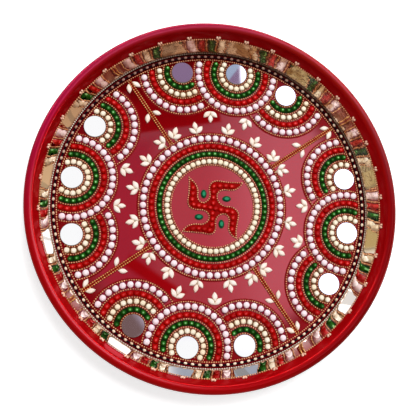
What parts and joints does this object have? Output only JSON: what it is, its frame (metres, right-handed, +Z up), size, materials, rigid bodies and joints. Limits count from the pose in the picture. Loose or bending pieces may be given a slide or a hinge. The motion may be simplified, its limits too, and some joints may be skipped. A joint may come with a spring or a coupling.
{
  "type": "thali plate",
  "caption": "Shallow round worship plate with a rolled rim, decorated inside with rings and arches of pearls, stones, mirrors and fine ball chain round a swastika.",
  "frame": {"origin": "centre of the plate's underside, on the surface it stands on", "axes": "+Z up out of the dish; +X and +Y across the plate, +Y towards the arches named top"},
  "size_m": [0.3, 0.3, 0.0272],
  "materials": {
    "plate_enamel": "glossy red enamel over steel, with a polished steel band on the lower wall",
    "ball_chain": "bright copper-gold",
    "black_cord": "matt braided cord",
    "corner_beads": "pale metallic plating",
    "kundan_stones": "cream faceted stones, foil backed",
    "green_stones": "dark green faceted stones, foil backed",
    "red_stones": "ruby faceted stones, foil backed",
    "half_pearls": "pearl lustre, pinkish",
    "arch_strings": "strings of pearls, cream, green and ruby stones and ball chain",
    "petal_stones": "cream pointed stones",
    "mirror_glass": "thin silvered glass"
  },
  "bodies": {
    "root": {"plate": "plate_enamel", "black_corner_cord": "black_cord", "corner_bead_string": "corner_beads", "floor_edge_chain": "ball_chain", "wall_foot_chain": "ball_chain", "wall_chain_with_picots": "ball_chain", "medallion_chain_1": "ball_chain", "medallion_kundan_ring": "kundan_stones", "medallion_chain_2": "ball_chain", "medallion_green_ring": "green_stones", "medallion_chain_3": "ball_chain", "medallion_red_ring": "red_stones", "medallion_chain_4": "ball_chain", "medallion_pearl_ring": "half_pearls", "medallion_edge_chain_with_flowers": "ball_chain", "swastika_chain": "ball_chain", "swastika_red_stones": "red_stones", "swastika_green_stone_1": "green_stones", "swastika_green_stone_2": "green_stones", "swastika_green_stone_3": "green_stones", "swastika_green_stone_4": "green_stones", "spoke_1": "ball_chain", "spoke_2": "ball_chain", "spoke_3": "ball_chain", "spoke_4": "ball_chain", "top_middle_arch": "arch_strings", "top_first_arch": "arch_strings", "top_last_arch": "arch_strings", "left_middle_arch": "arch_strings", "left_first_arch": "arch_strings", "left_last_arch": "arch_strings", "bottom_middle_arch": "arch_strings", "bottom_first_arch": "arch_strings", "bottom_last_arch": "arch_strings", "right_middle_arch": "arch_strings", "right_first_arch": "arch_strings", "right_last_arch": "arch_strings", "top_middle_mirror": "mirror_glass", "top_first_mirror": "mirror_glass", "top_last_mirror": "mirror_glass", "left_middle_mirror": "mirror_glass", "left_first_mirror": "mirror_glass", "left_last_mirror": "mirror_glass", "bottom_middle_mirror": "mirror_glass", "bottom_first_mirror": "mirror_glass", "bottom_last_mirror": "mirror_glass", "right_middle_mirror": "mirror_glass", "right_first_mirror": "mirror_glass", "right_last_mirror": "mirror_glass", "top_first_notch_flower": "petal_stones", "top_last_notch_flower": "petal_stones", "left_first_notch_flower": "petal_stones", "left_last_notch_flower": "petal_stones", "bottom_first_notch_flower": "petal_stones", "bottom_last_notch_flower": "petal_stones", "right_first_notch_flower": "petal_stones", "right_last_notch_flower": "petal_stones"}
  },
  "joints": []
}
